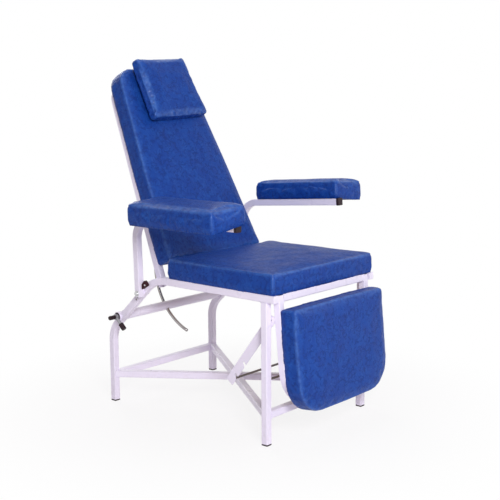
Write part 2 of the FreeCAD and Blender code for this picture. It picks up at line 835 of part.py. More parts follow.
def build_back_pad():
    board = new_body("back_board")
    front = sketch_on(board, "XZ_Plane", "back_pad_side")
    low = "(back_pad_low + board_inset)"
    high = "(back_pad_high - board_inset)"
    low_x = "(%s - board_inset)" % pad_half(low)
    high_x = "(%s - board_inset)" % pad_half(high)
    draw_path(front, [("-" + low_x, low, "seat_corner"), (low_x, low, "seat_corner"),
                      (high_x, high, "back_pad_corner"), ("-" + high_x, high, "back_pad_corner")])
    pad(board, front, "board")
    tilt_back(board, lift="tube / 2")
    keep(board, "back_board")
    doc.recompute()
    low_half = pad_half("back_pad_low")
    high_half = pad_half("back_pad_high")
    shape = cushion(outline(("-" + low_half, "back_pad_low", "seat_corner"),
                            (low_half, "back_pad_low", "seat_corner"),
                            (high_half, "back_pad_high", "back_pad_corner"),
                            ("-" + high_half, "back_pad_high", "back_pad_corner")),
                    value("back_pad_thickness"), value("crown"), value(high_half))
    spot = back_spot(value("back_pad_side"), 0, value("tube / 2 + back_pad_gap"))
    soft_piece("back_pad", without(shape, spot, board), spot)


def build_pillow():
    low = "pillow_low_width / 2"
    high = "pillow_high_width / 2"
    height = "pillow_height / 2"
    shape = cushion(outline(("-" + low, "-" + height, "pillow_corner"),
                            (low, "-" + height, "pillow_corner"),
                            (high, height, "pillow_corner"),
                            ("-" + high, height, "pillow_corner")),
                    value("pillow_thickness"), value("2 * crown"), value(height))
    lift = value("tube / 2 + back_pad_gap + back_pad_thickness + tape")
    spot = back_spot(value("pillow_side"), value("pillow_place"), lift, value("pillow_turn"))
    soft_piece("head_pillow", shape, spot)
    tapes = []
    for side, sign in SIDES:
        strip = doc.addObject("Part::Box", "pillow_tape_" + side)
        bind(strip, "Length", "tape_width")
        bind(strip, "Width", "tape_length")
        bind(strip, "Height", "tape")
        strip.Placement = back_spot(value("%d * tape_spread / 2 - tape_width / 2" % sign),
                                    value("pillow_place - tape_length / 2"), lift - value("tape"))
        tapes.append(strip)
    group("pillow_tapes", tapes)


ROD_SIDES = 12


def build_arc_rod():
    """Bent rod, round about the back hinge, from its free end up to the lower back bar."""
    body = new_body("arc_rod")
    section = sketch_on(body, "XY_Plane")
    corners = []
    for step in range(ROD_SIDES):
        angle = "(%d / %d)" % (360 * step + 180, ROD_SIDES)
        corners.append(("arc_x + arc_rod / 2 * cos(%s)" % angle,
                        "arc_radius + arc_rod / 2 * sin(%s)" % angle, None))
    draw_path(section, corners)
    turn = body.newObject("PartDesign::Revolution", "arc_rod_bend")
    turn.Profile = section
    turn.ReferenceAxis = (section, ["H_Axis"])
    turn.Type = "TwoAngles"
    bind(turn, "Angle", "90")
    bind(turn, "Angle2", "arc_free_end - back_tilt")
    doc.recompute()
    end = sketch_on(body, "XZ_Plane", lift="-tube / 2")
    draw_path(end, rectangle("arc_x - tube", "arc_radius - tube", "arc_x + tube", "arc_radius + tube"))
    trim = body.newObject("PartDesign::Pocket", "arc_rod_end")
    trim.Profile = end
    bind(trim, "Length", "tube")
    trim.Reversed = True
    before = body.Shape.Volume
    doc.recompute()
    if body.Shape.Volume >= before:
        raise RuntimeError("arc rod not trimmed")
    keep(tilt_back(body), "arc_rod")


# Recline lever

def build_lever():
    end = "-(half_base + cross_overhang + side_play)"
    spindle = rod_along_x("clamp_spindle", end, "cross_y", "cross_z", "spindle",
                          "half_base + cross_overhang + arc_x - bush_length / 2")
    keep(spindle, "clamp_spindle")
    hub = rod_along_x("lever_hub", end + " - hub_length", "cross_y", "cross_z", "hub", "hub_length")
    bar = doc.addObject("Part::Cylinder", "lever_bar")
    bind(bar, "Radius", "lever_rod / 2")
    bind(bar, "Height", "lever_length")
    place(bar, end + " - hub_length / 2", "cross_y", "cross_z", X_AXIS, "90 + lever_drop")
    keep(fuse("lever_arm", [hub, bar]), "lever_arm")
    knob = rod_along_x("lever_knob", end + " - hub_length - knob_length", "cross_y", "cross_z",
                       "knob", "knob_length")
    keep(knob, "lever_knob")
    sleeve = new_body("lever_cap")
    outside = sketch_on(sleeve, "XY_Plane")
    draw_circle(outside, "0", "0", "lever_cap")
    pad(sleeve, outside, "lever_cap_length")
    bore = sketch_on(sleeve, "XY_Plane")
    draw_circle(bore, "0", "0", "lever_rod + 2 * hinge_play")
    hole = sleeve.newObject("PartDesign::Pocket", "lever_cap_bore")
    hole.Profile = bore
    bind(hole, "Length", "lever_cap_length - knob / 2")
    hole.Reversed = True
    doc.recompute()
    reach = "(lever_length - lever_cap_length + knob / 2 + side_play)"
    place(sleeve, end + " - hub_length / 2", "cross_y - %s * cos(lever_drop)" % reach,
          "cross_z - %s * sin(lever_drop)" % reach, X_AXIS, "90 + lever_drop")
    keep(sleeve, "lever_cap")


# Armrests, built about their hinge bolts

def arm_place(item, side, x="0"):
    tip = "arm_tip_left" if side == "left" else "0"
    return place(item, x, "arm_y", "arm_z", -X_AXIS, tip)


def build_armrest(side, sign):
    level = "arm_tube_z - arm_z"
    front = "front_y + arm_front - arm_y"
    foot = "-arm_foot_drop"
    foot_y = "(%s) * arm_post_lean / (%s)" % (foot, level)
    path = [(foot_y, foot, None), ("arm_post_lean", level, "arm_bend"), (front, level, None)]
    tube = bent_tube("arm_tube_" + side, "YZ_Plane", path, "XY_Plane", ("0", foot_y, foot),
                     -X_AXIS, "atan(arm_post_lean / (%s))" % level)
    drill(tube, "YZ_Plane", [("0", "0")], "arm_bolt + 2 * hinge_play")
    keep(arm_place(tube, side, "%d * arm_x" % sign), tube.Name)
    cap = new_body("arm_end_cap_" + side)
    plate = sketch_on(cap, "XZ_Plane", "0", level, "-(%s)" % front)
    draw_path(plate, bevelled_square())
    pad(cap, plate, "arm_cap_length")
    keep(arm_place(cap, side, "%d * arm_x" % sign), cap.Name)
    top = "arm_height - arm_z"
    middle = "front_y + arm_pad_front + arm_pad_length / 2 - arm_y"
    if side == "left":
        middle += " + arm_pad_left_shift"
    edge = "%d * (half_base + tube)" % sign
    out = "%d * (arm_pad_x - half_base - tube)" % sign
    sag = "%d * arm_pad_sag" % sign
    board = new_body("arm_board_" + side)
    plan = sketch_on(board, "XY_Plane", edge, middle, top, Y_AXIS, sag)
    wide = "(arm_pad_width / 2 - board_inset)"
    long = "(arm_pad_length / 2 - board_inset)"
    draw_path(plan, rectangle(out + " - " + wide, "-" + long, out + " + " + wide, long,
                              "seat_corner"))
    pad(board, plan, "board")
    keep(arm_place(board, side), board.Name)
    doc.recompute()
    wide = "arm_pad_width / 2"
    long = "arm_pad_length / 2"
    shape = cushion(outline(("-" + wide, "-" + long, "arm_pad_corner"),
                            (wide, "-" + long, "arm_pad_corner"),
                            (wide, long, "arm_pad_corner"),
                            ("-" + wide, long, "arm_pad_corner")),
                    value("arm_pad_thickness"), value("crown"), value(wide))
    turn = Placement(Vector(value(edge), value(middle), value(top)), Rotation(Y_AXIS, value(sag)))
    on_board = Placement(Vector(value(out), 0, value("back_pad_gap")), Rotation())
    spot = board.Placement.multiply(turn).multiply(on_board)
    soft_piece("arm_pad_" + side, without(shape, spot, board), spot)
    bolt = new_body("arm_bolt_" + side)
    run = "2 * tube + 2 * side_play"
    for start, length, size in (("0", run, "arm_bolt"),
                                ("-arm_bolt_head_height", "arm_bolt_head_height", "arm_bolt_head"),
                                (run, "arm_bolt_head_height", "arm_bolt_head")):
        disc = sketch_on(body=bolt, role="YZ_Plane", lift=start)
        draw_circle(disc, "0", "0", size)
        pad(bolt, disc, length)
    return place(bolt, "%d * (half_base + tube)" % sign, "arm_y", "arm_z",
                 Z_AXIS, "0" if sign < 0 else "180")


# Calf rest, built hanging about its hinge and then leant forward

def hang_calf(item, x="0"):
    return place(item, x, "calf_y", "calf_z", -X_AXIS, "calf_lean")


def calf_spot(lift):
    hinge = Placement(Vector(0, value("calf_y"), value("calf_z")),
                      Rotation(-X_AXIS, value("calf_lean")))
    return hinge.multiply(Placement(Vector(0, -lift, 0), Rotation(X_AXIS, 90)))


def build_calf_frame():
    top = "calf_frame_top"
    low = "-(calf_length - tube / 2)"
    path = [("-calf_x", top, None), ("-calf_x", low, "calf_corner"),
            ("calf_x", low, "calf_corner"), ("calf_x", top, None)]
    frame = bent_tube("calf_frame", "XZ_Plane", path, "XY_Plane", ("-calf_x", "0", top))
    drill(frame, "YZ_Plane", [("0", "0")], "hinge_pin + 2 * hinge_play")
    keep(hang_calf(frame), "calf_frame")
    bar = straight_tube("calf_top_bar", "YZ_Plane", "2 * (calf_half_width - tube)")
    keep(hang_calf(bar), "calf_top_bar")
    lugs = []
    for side, sign in SIDES:
        lug = new_body("stay_lug_" + side)
        plate = sketch_on(lug, "YZ_Plane")
        draw_path(plate, [("tube / 2", "-stay_pivot - lug_width / 2", None),
                          ("stay_rear + lug_width / 2", "-stay_pivot - lug_width / 2", "lug_width / 2.1"),
                          ("stay_rear + lug_width / 2", "-stay_pivot + lug_width / 2", "lug_width / 2.1"),
                          ("tube / 2", "-stay_pivot + lug_width / 2", None)])
        pad(lug, plate, "lug_thickness", back=sign > 0)
        drill(lug, "YZ_Plane", [("stay_rear", "-stay_pivot")], "stay_pin + 2 * hinge_play")
        lugs.append(hang_calf(lug, "%d * calf_half_width" % sign))
    group("stay_lugs", lugs)
    pins = []
    for side, sign in SIDES:
        pin = new_body("stay_pin_" + side)
        shank = sketch_on(pin, "YZ_Plane")
        draw_circle(shank, "stay_rear", "-stay_pivot", "stay_pin")
        pad(pin, shank, "lug_thickness + stay_gap + bar_thickness + side_play", back=sign < 0)
        pins.append(hang_calf(pin, "%d * (calf_half_width - lug_thickness)" % sign))
    group("stay_pins", pins)


def build_calf_pad():
    board = new_body("calf_board")
    front = sketch_on(board, "XZ_Plane")
    wide = "(calf_pad_half_width - board_inset)"
    high = "-(calf_pad_top + board_inset)"
    low = "-(calf_pad_bottom - board_inset)"
    draw_path(front, [("-" + wide, low, "calf_pad_corner"), (wide, low, "calf_pad_corner"),
                      (wide, high, "calf_pad_shoulder"), ("-" + wide, high, "calf_pad_shoulder")])
    pad(board, front, "board")
    place(board, "0", "calf_y - tube / 2 * cos(calf_lean)", "calf_z + tube / 2 * sin(calf_lean)",
          -X_AXIS, "calf_lean")
    keep(board, "calf_board")
    doc.recompute()
    wide = "calf_pad_half_width"
    shape = cushion(outline(("-" + wide, "-calf_pad_bottom", "calf_pad_corner"),
                            (wide, "-calf_pad_bottom", "calf_pad_corner"),
                            (wide, "-calf_pad_top", "calf_pad_shoulder"),
                            ("-" + wide, "-calf_pad_top", "calf_pad_shoulder")),
                    value("calf_pad_thickness"), value("crown"), value("calf_pad_half_width / 1.6"))
    spot = calf_spot(value("tube / 2 + back_pad_gap"))
    soft_piece("calf_pad", without(shape, spot, board), spot)


# Notched stay, built along its own bars and then hung from the calf rest

def build_stay():
    tips = [("-bar_width / 2", "bar_width / 2", "bar_width / 2.1")]
    for start in ("first_notch", "(first_notch + notch_pitch)"):
        tips += [("-bar_width / 2", "-" + start, None),
                 ("notch_depth - bar_width / 2", "-(%s - notch_undercut)" % start, None),
                 ("notch_depth - bar_width / 2", "-(%s - notch_undercut + catch_diameter)" % start, None),
                 ("-bar_width / 2", "-(%s + notch_ramp)" % start, None)]
    tips += [("-bar_width / 2", "-bar_tail", "tube_corner"), ("bar_width / 2", "-bar_tail", "tube_corner"),
             ("bar_width / 2", "bar_width / 2", "bar_width / 2.1")]
    pivot_y = "calf_y + stay_rear * cos(calf_lean) - stay_pivot * sin(calf_lean)"
    pivot_z = "calf_z - stay_rear * sin(calf_lean) - stay_pivot * cos(calf_lean)"
    for side, sign in SIDES:
        bar = new_body("notched_bar_" + side)
        profile = sketch_on(bar, "YZ_Plane")
        draw_path(profile, tips)
        pad(bar, profile, "bar_thickness", back=sign < 0)
        drill(bar, "YZ_Plane", [("0", "0")], "stay_pin + 2 * hinge_play")
        place(bar, "%d * stay_x" % sign, pivot_y, pivot_z, X_AXIS, "bar_angle")
        keep(bar, bar.Name)
    rod = new_body("stay_rod")
    section = sketch_on(rod, "YZ_Plane")
    draw_circle(section, "-stay_rod_offset", "-stay_rod_place", "stay_rod")
    pad(rod, section, "2 * stay_x", middle=True)
    place(rod, "0", pivot_y, pivot_z, X_AXIS, "bar_angle")
    keep(rod, "stay_rod")


build_base()
build_foot_plugs()
build_rail_caps()
build_cross_tube()
build_clamp()
build_seat()
build_hinges()
build_arm_stops()
build_back_frame()
build_back_bars()
build_back_pad()
build_pillow()
build_arc_rod()
build_lever()
group("arm_bolts", [build_armrest(side, sign) for side, sign in SIDES])
build_calf_frame()
build_calf_pad()
build_stay()
doc.recompute()

for item in doc.Objects:
    if "Invalid" in item.State or "Error" in item.State:
        raise RuntimeError("%s failed: %s" % (item.Label, item.State))
for piece in PIECES:
    if piece.Shape.isNull() or not piece.Shape.isValid():
        raise RuntimeError(piece.Label + " has no valid shape")

os.makedirs("parts", exist_ok=True)
for piece in PIECES:
    piece.Shape.exportStep("parts/%s.step" % piece.Label)
    print("%-22s %2d solids %8.0f mm3" % (piece.Label, len(piece.Shape.Solids), piece.Shape.Volume))
box_sizes = Part.makeCompound([piece.Shape for piece in PIECES]).BoundBox
print("bounds", box_sizes)
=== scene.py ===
# Looks of the phlebotomy chair: finishes for its frame, stuffed cushions and small fittings.
# +Z is up, the chair faces -Y, and +X is the sitter's left. Places are in metres; a name or
# a note says so where a length is in millimetres.
import json
import math

import bmesh
import bpy
import numpy as np
from mathutils import Matrix, Vector


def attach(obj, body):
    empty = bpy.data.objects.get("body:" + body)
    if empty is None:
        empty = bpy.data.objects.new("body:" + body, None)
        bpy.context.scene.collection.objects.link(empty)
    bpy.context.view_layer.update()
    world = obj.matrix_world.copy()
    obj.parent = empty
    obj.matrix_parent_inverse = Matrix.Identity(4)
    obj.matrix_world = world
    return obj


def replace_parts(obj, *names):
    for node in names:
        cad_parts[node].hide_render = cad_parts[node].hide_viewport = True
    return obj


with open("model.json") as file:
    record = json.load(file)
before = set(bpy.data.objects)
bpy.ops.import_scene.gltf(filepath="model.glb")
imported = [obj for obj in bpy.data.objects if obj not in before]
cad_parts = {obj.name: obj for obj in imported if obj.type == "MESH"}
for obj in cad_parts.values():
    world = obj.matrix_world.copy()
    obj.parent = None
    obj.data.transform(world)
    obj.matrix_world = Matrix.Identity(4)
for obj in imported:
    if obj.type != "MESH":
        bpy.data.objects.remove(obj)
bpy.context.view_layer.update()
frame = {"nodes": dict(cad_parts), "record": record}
scene = bpy.context.scene
nodes = frame["nodes"]
MM = 0.001
X, Y, Z = Vector((1, 0, 0)), Vector((0, 1, 0)), Vector((0, 0, 1))

# Places on the frame that the padded and the small pieces share
BACK_HINGE, BACK_LEAN = Vector((0, 0.1487, 0.4861)), 26
CALF_HINGE, CALF_LEAN = Vector((0, -0.3943, 0.495)), 5.5
SEAT_MIDDLE = Vector((0, -0.16, 0.5115))
ARM_PIVOT = Vector((0.29415, 0.2097, 0.442))
ARM_EDGE, ARM_ROLL = Vector((0.30665, -0.0973, 0.7307)), 4
LEFT_ARM_TIP = 4.2                      # degrees that the left armrest is tipped at rest
FRAME_FACE = 0.28165                    # outer face of each side frame, from the middle
LOWER_BAR, UPPER_BAR = 236, 540         # bars of the back, up it from its hinge, mm
HALF_TUBE = 12.5                        # of the square tubes, mm


def add_object(name, data):
    thing = bpy.data.objects.new(name, data)
    scene.collection.objects.link(thing)
    return thing


# Camera, at the photograph's place and angle

def place_camera():
    azimuth, elevation, roll = (math.radians(a) for a in (-48.740, 9.184, -0.426))
    back = Vector((math.sin(azimuth) * math.cos(elevation),
                   -math.cos(azimuth) * math.cos(elevation), math.sin(elevation)))
    right = Z.cross(back).normalized()
    up = back.cross(right)
    across = right * math.cos(roll) + up * math.sin(roll)
    above = up * math.cos(roll) - right * math.sin(roll)
    lens = bpy.data.cameras.new("photo_camera")
    lens.lens, lens.sensor_width = 70.2, 36
    lens.clip_start, lens.clip_end = 0.05, 60
    camera = add_object("photo_camera", lens)
    turn = Matrix((across, above, back)).transposed()
    camera.matrix_world = Matrix.Translation((-2.6227, -2.3648, 1.1542)) @ turn.to_4x4()
    scene.camera = camera


# Node trees

class Value:
    """A socket of a node tree. A sum written with it adds its Math nodes."""

    def __init__(self, owner, socket):
        self.owner, self.socket = owner, socket

    def sum(self, operation, first, second):
        return self.owner.node("Math", {"operation": operation}, {0: first, 1: second})

    def __add__(self, other):
        return self.sum("ADD", self, other)

    def __sub__(self, other):
        return self.sum("SUBTRACT", self, other)

    def __mul__(self, other):
        return self.sum("MULTIPLY", self, other)


class NodeTree:
    """The nodes of a material or of the world."""

    def __init__(self, tree):
        self.tree = tree
        tree.nodes.clear()

    def feed(self, socket, item):
        if isinstance(item, Value):
            self.tree.links.new(item.socket, socket)
        elif isinstance(item, tuple) and socket.type == "RGBA":
            socket.default_value = (*item, 1)
        else:
            socket.default_value = item

    def node(self, kind, settings=None, values=None, out=0):
        made = self.tree.nodes.new("ShaderNode" + kind)
        for name, setting in (settings or {}).items():
            setattr(made, name, setting)
        for name, item in (values or {}).items():
            self.feed(made.inputs[name], item)
        return Value(self, made.outputs[out])

    def ends_in(self, kind, surface):
        """Add the output node, show the surface there and give its input."""
        shown = self.tree.nodes.new("ShaderNodeOutput" + kind).inputs[0]
        self.feed(shown, surface)
        return shown

    def seen_by(self, *kinds):
        """One for rays of these kinds, zero for the rest."""
        path = self.node("LightPath").socket.node
        seen, *others = (Value(self, path.outputs["Is %s Ray" % kind]) for kind in kinds)
        for other in others:
            seen = self.node("Math", {"operation": "MAXIMUM"}, {0: seen, 1: other})
        return seen


class Finish(NodeTree):
    """A material made of nodes round one surface shader. Scales count features in a metre."""

    def __init__(self, name, **surface):
        self.material = bpy.data.materials.new(name)
        self.material.use_nodes = True
        super().__init__(self.material.node_tree)
        self.shader = self.node("BsdfPrincipled", values=surface)
        self.surface = self.shader.socket.node
        self.shown = self.ends_in("Material", self.shader)
        self.spot = self.node("TexCoord", out="Object")

    def set(self, **values):
        for name, item in values.items():
            self.feed(self.surface.inputs[name.replace("_", " ")], item)

    def mix(self, share, first, second):
        return self.node("Mix", {"data_type": "RGBA"}, {0: share, 6: first, 7: second}, out=2)

    def ease(self, item, low, high, start=0, end=1):
        """Smooth step from start, where the item is low, to end, where it is high."""
        return self.node("MapRange", {"interpolation_type": "SMOOTHSTEP"},
                         {"Value": item, "From Min": low, "From Max": high,
                          "To Min": start, "To Max": end})

    def stretch(self, x, y, z, spot=None):
        return self.node("VectorMath", {"operation": "MULTIPLY"},
                         {0: spot or self.spot, 1: (x, y, z)})

    def noise(self, scale, detail=2, roughness=0.5, spot=None, out=0):
        return self.node("TexNoise", None, {"Vector": spot or self.spot, "Scale": scale,
                         "Detail": detail, "Roughness": roughness}, out=out)

    def cells(self, scale, feature="F1", spot=None, jitter=1.0):
        return self.node("TexVoronoi", {"feature": feature},
                         {"Vector": spot or self.spot, "Scale": scale, "Randomness": jitter})

    def borders(self, scale, drift_scale, drift, width, start=0, end=1):
        """Step across the borders of cells that a slow noise has pushed about."""
        apart = self.cells(scale, "DISTANCE_TO_EDGE", self.pushed(drift_scale, drift))
        return self.ease(apart, 0.0, width, start, end)

    def pushed(self, scale, reach):
        """Surface position, pushed about by a slow noise."""
        drift = self.noise(scale, 2, out="Color")
        centred = self.node("VectorMath", {"operation": "SUBTRACT"},
                            {0: drift, 1: (0.5, 0.5, 0.5)})
        far = self.node("VectorMath", {"operation": "SCALE"}, {0: centred, "Scale": reach})
        return self.node("VectorMath", {"operation": "ADD"}, {0: self.spot, 1: far})

    def mark(self, name):
        return self.node("Attribute", {"attribute_name": name}, out="Fac")

    def raise_by(self, height, rounding=0):
        """Give the surface a height in millimetres, and soften edges by a rounding."""
        values = {"Height": height, "Distance": MM, "Strength": 1.0}
        if rounding:
            values["Normal"] = self.node("Bevel", {"samples": 4}, {"Radius": rounding})
        self.set(Normal=self.node("Bump", None, values))


# Finishes

def blue_vinyl():
    """Vinyl-coated cloth with a crinkled two-tone print, a fine pressed grain, a painted
    highlight on its rims and painted shade in its seams.
    """
    f = Finish("blue_vinyl", **{"Specular IOR Level": 0.16, "Coat Roughness": 0.24})
    vein = f.borders(56, 30, 0.042, 0.19, 1, 0) * f.ease(f.noise(58, 1), 0.40, 0.56)
    stray = f.borders(84, 61, 0.022, 0.2, 1, 0) * f.ease(f.noise(44, 1), 0.5, 0.6) * 0.8
    cloud = f.noise(19, 3, 0.6)
    speck = f.noise(330, 2)
    tone = f.mix(f.ease(cloud, 0.34, 0.66), (0.0045, 0.042, 0.270), (0.0080, 0.057, 0.316))
    tone = f.mix(stray * 0.42, tone, (0.020, 0.100, 0.41))
    tone = f.mix(vein * 0.60, tone, (0.0035, 0.021, 0.150))
    tone = f.mix(speck * 0.09, tone, (0.016, 0.088, 0.40))
    rim = f.mark("rim")
    # A lighter tone along the pad rims and upright corners, in patches: a painted highlight.
    rim_sheen_patches = f.ease(f.noise(70, 2), 0.3, 0.7, 0.14, 0.46)
    tone = f.mix(rim * rim_sheen_patches, tone, (0.060, 0.19, 0.58))
    seam = f.mark("seam")
    groove = f.ease(seam, 0.90, 0.99)
    stitch = f.node("Math", {"operation": "FRACT"}, {0: f.mark("run") * 190})
    beside = f.ease(seam, 0.62, 0.66) * f.ease(seam, 0.72, 0.76, 1, 0)
    thread = beside * f.ease(stitch, 0.14, 0.24) * f.ease(stitch, 0.76, 0.86, 1, 0)
    # The darker tone in the seam groove is painted shade.
    tone = f.mix(groove * 0.35, tone, (0.006, 0.018, 0.09))
    tone = f.mix(thread * 0.5, tone, (0.03, 0.12, 0.45))
    grain = f.borders(640, 300, 0.0016, 0.22)
    pore = f.noise(1500, 2)
    crinkle = f.noise(120, 4, 0.62)
    height = grain * 0.07 + pore * 0.03 + crinkle * 0.22 + stray * 0.06 - vein * 0.13
    f.raise_by(height - groove * 0.6 + thread * 0.2)
    shine = f.ease(cloud, 0.3, 0.7, 0.43, 0.53) + vein * 0.06 - grain * 0.04
    f.set(Base_Color=tone, Roughness=shine + groove * 0.2)
    f.set(Coat_Weight=rim * 0.4 + 0.03)
    return f.material


def white_paint():
    """Powder coat, cool white, with a faint pebbled skin and a little dirt low down."""
    f = Finish("white_paint", **{"Specular IOR Level": 0.5, "Coat Roughness": 0.18})
    tone = f.mix(f.noise(7, 3), (0.858, 0.802, 0.962), (0.898, 0.846, 0.985))
    height = f.node("SeparateXYZ", None, {"Vector": f.spot}, out="Z")
    dirt = f.ease(height, 0.0, 0.16, 1, 0) * f.ease(f.noise(55, 4, 0.7), 0.45, 0.7)
    tone = f.mix(dirt * 0.22, tone, (0.55, 0.46, 0.47))
    rubbed = f.ease(f.noise(160, 3, 0.7, f.stretch(1, 1, 0.25)), 0.66, 0.74)
    tone = f.mix(rubbed * 0.14, tone, (0.60, 0.56, 0.62))
    f.raise_by(f.noise(720, 2) * 0.03 + f.noise(210, 1) * 0.02, rounding=0.0016)
    shine = f.ease(f.noise(30, 3), 0.3, 0.7, 0.27, 0.38)
    f.set(Base_Color=tone, Coat_Weight=0.12, Roughness=shine + dirt * 0.2 + rubbed * 0.1)
    return f.material


def moulded(name, dark, pale, roughness, scale, depth, specular):
    """Plastic or rubber with a fine moulded texture and a trace of dust."""
    f = Finish(name, **{"Specular IOR Level": specular})
    dust = f.ease(f.noise(90, 4, 0.65), 0.5, 0.78)
    shine = f.ease(f.noise(240, 2), 0.3, 0.7, roughness - 0.06, roughness + 0.06)
    f.set(Base_Color=f.mix(dust * 0.3, dark, pale), Roughness=shine + dust * 0.1)
    f.raise_by(f.cells(scale) * depth + f.noise(scale * 0.6, 2) * depth, rounding=0.0012)
    return f.material


def plywood(name, grain, across):
    """Birch plywood, its long grain drawn out along one way and banded across it."""
    f = Finish(name, **{"Specular IOR Level": 0.3})
    figure = f.noise(26, 5, 0.6, f.stretch(*grain))
    bands = f.node("TexWave", {"wave_type": "BANDS", "bands_direction": across},
                   {"Vector": f.stretch(*grain, f.pushed(4, 0.1)), "Scale": 18,
                    "Distortion": 5.0, "Detail": 3})
    tone = f.mix(figure, (0.47, 0.31, 0.165), (0.63, 0.45, 0.27))
    tone = f.mix(bands * 0.35, tone, (0.38, 0.235, 0.115))
    knot = f.ease(f.cells(5.5), 0.0, 0.09, 1, 0)
    tone = f.mix(knot * 0.75, tone, (0.17, 0.085, 0.035))
    f.set(Base_Color=tone, Roughness=f.ease(figure, 0.3, 0.7, 0.55, 0.72))
    fibre = f.noise(900, 2, spot=f.stretch(*grain))
    f.raise_by(bands * 0.05 + figure * 0.06 + fibre * 0.05, rounding=0.0006)
    return f.material


def metal(name, tone, rim_sheen_patches, roughness, along=(1, 1, 1), lustre=1.0, streak=0.015):
    """Bare or plated metal with drawn marks along it and a few duller patches."""
    f = Finish(name, Metallic=lustre)
    drawn = f.noise(260, 3, 0.6, f.stretch(*along))
    patch = f.ease(f.noise(36, 3, 0.6), 0.42, 0.72)
    f.set(Base_Color=f.mix(patch * 0.55, tone, rim_sheen_patches))
    f.set(Roughness=drawn * 0.12 + patch * 0.1 + (roughness - 0.08))
    f.raise_by(drawn * streak, rounding=0.0004)
    return f.material


def hook_tape():
    """Woven tape covered with small stiff hooks."""
    f = Finish("hook_tape", **{"Sheen Weight": 0.4})
    hooks = f.cells(700, jitter=0.35)
    weave = f.noise(1400, 2)
    tone = f.mix(f.ease(hooks, 0.1, 0.6), (0.035, 0.036, 0.042), (0.010, 0.010, 0.013))
    f.set(Base_Color=tone, Roughness=f.ease(weave, 0.3, 0.7, 0.72, 0.92))
    f.raise_by(f.ease(hooks, 0.0, 0.5, 1, 0) * 0.5 + weave * 0.1)
    return f.material


FINISHES = {
    "white_paint": white_paint(),
    "blue_vinyl": blue_vinyl(),
    "black_plastic": moulded("black_plastic", (0.016, 0.004, 0.008), (0.050, 0.030, 0.036),
                             roughness=0.42, scale=900, depth=0.03, specular=0.28),
    "black_rubber": moulded("black_rubber", (0.034, 0.006, 0.009), (0.080, 0.045, 0.050),
                            roughness=0.62, scale=500, depth=0.06, specular=0.25),
    "plywood": plywood("plywood", (0.15, 1, 1), "Y"),
    "plywood_long": plywood("plywood_long", (1, 0.15, 1), "X"),
    "bright_rod": metal("bright_rod", (0.40, 0.375, 0.375), (0.27, 0.24, 0.235),
                        roughness=0.20, along=(8, 0.6, 0.6)),
    "dark_steel": metal("dark_steel", (0.23, 0.205, 0.21), (0.31, 0.26, 0.255),
                        roughness=0.42, along=(0.3, 3, 3), lustre=0.85),
    "plated_steel": metal("plated_steel", (0.60, 0.60, 0.62), (0.46, 0.45, 0.44),
                          roughness=0.30),
    "lever_steel": metal("lever_steel", (0.36, 0.36, 0.39), (0.24, 0.23, 0.25),
                         roughness=0.40, lustre=0.55, streak=0.03),
    "hook_tape": hook_tape(),
}


# Meshes

def dress(piece, finish, body, smooth=True):
    """Give a piece its finish and the body that it rides on."""
    piece.data.materials.clear()
    piece.data.materials.append(FINISHES[finish])
    piece.data.polygons.foreach_set("use_smooth", [smooth] * len(piece.data.polygons))
    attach(piece, body)


def ring_round(middle, u, v, radius, sides):
    """Points of a circle in the plane of u and v."""
    return [middle + (u * math.cos(a) + v * math.sin(a)) * radius
            for a in (2 * math.pi * j / sides for j in range(sides))]


class Stock:
    """Rings of points, joined into skins and gathered into one mesh."""

    def __init__(self):
        self.verts, self.faces = [], []

    def skin(self, rings, closed=False):
        """Join rings of one size in order; an open row is capped at both ends."""
        start, count = len(self.verts), len(rings[0])
        for ring in rings:
            self.verts.extend(ring)
        last = len(rings) if closed else len(rings) - 1
        for i in range(last):
            low, high = start + i * count, start + (i + 1) % len(rings) * count
            for j in range(count):
                k = (j + 1) % count
                self.faces.append((low + j, low + k, high + k, high + j))
        if not closed:
            top = start + (len(rings) - 1) * count
            self.faces.append(tuple(start + j for j in range(count)))
            self.faces.append(tuple(top + j for j in reversed(range(count))))

    def turned(self, at, along, profile, sides=24):
        """Skin turned about a line: the profile gives (distance along, radius) in mm."""
        along = along.normalized()
        u = along.orthogonal().normalized()
        v = along.cross(u)
        self.skin([ring_round(at + along * reach * MM, u, v, radius * MM, sides)
                   for reach, radius in profile])

    def swept(self, points, up, radius, sides, closed=False, wave=0.0):
        """Round skin along points, its radius in mm, rippled where a wave is given."""
        count = len(points)
        rings = []
        for i, point in enumerate(points):
            before = points[i - 1] if closed or i else point
            after = points[(i + 1) % count] if closed or i < count - 1 else point
            along = (after - before).normalized()
            u = up.cross(along).normalized()
            size = radius * MM * (1 - wave * abs(math.sin(i * 1.05)))
            rings.append(ring_round(point, u, along.cross(u), size, sides))
        self.skin(rings, closed)

    def made(self, name, finish, body, smooth=True):
        mesh = bpy.data.meshes.new(name)
        mesh.from_pydata([tuple(v) for v in self.verts], [], self.faces)
        mesh.validate()
        shape = bmesh.new()
        shape.from_mesh(mesh)
        bmesh.ops.recalc_face_normals(shape, faces=shape.faces)
        shape.to_mesh(mesh)
        shape.free()
        piece = add_object(name, mesh)
        dress(piece, finish, body, smooth)
        return piece


def in_frame(mesh, matrix):
    """Points of a mesh in a frame of its own, in metres."""
    co = np.empty(len(mesh.vertices) * 3)
    mesh.vertices.foreach_get("co", co)
    turn = np.array(matrix.inverted())
    return co.reshape(-1, 3) @ turn[:3, :3].T + turn[:3, 3]


def put_back(mesh, points, matrix):
    turn = np.array(matrix)
    mesh.vertices.foreach_set("co", (points @ turn[:3, :3].T + turn[:3, 3]).ravel())
    mesh.update()


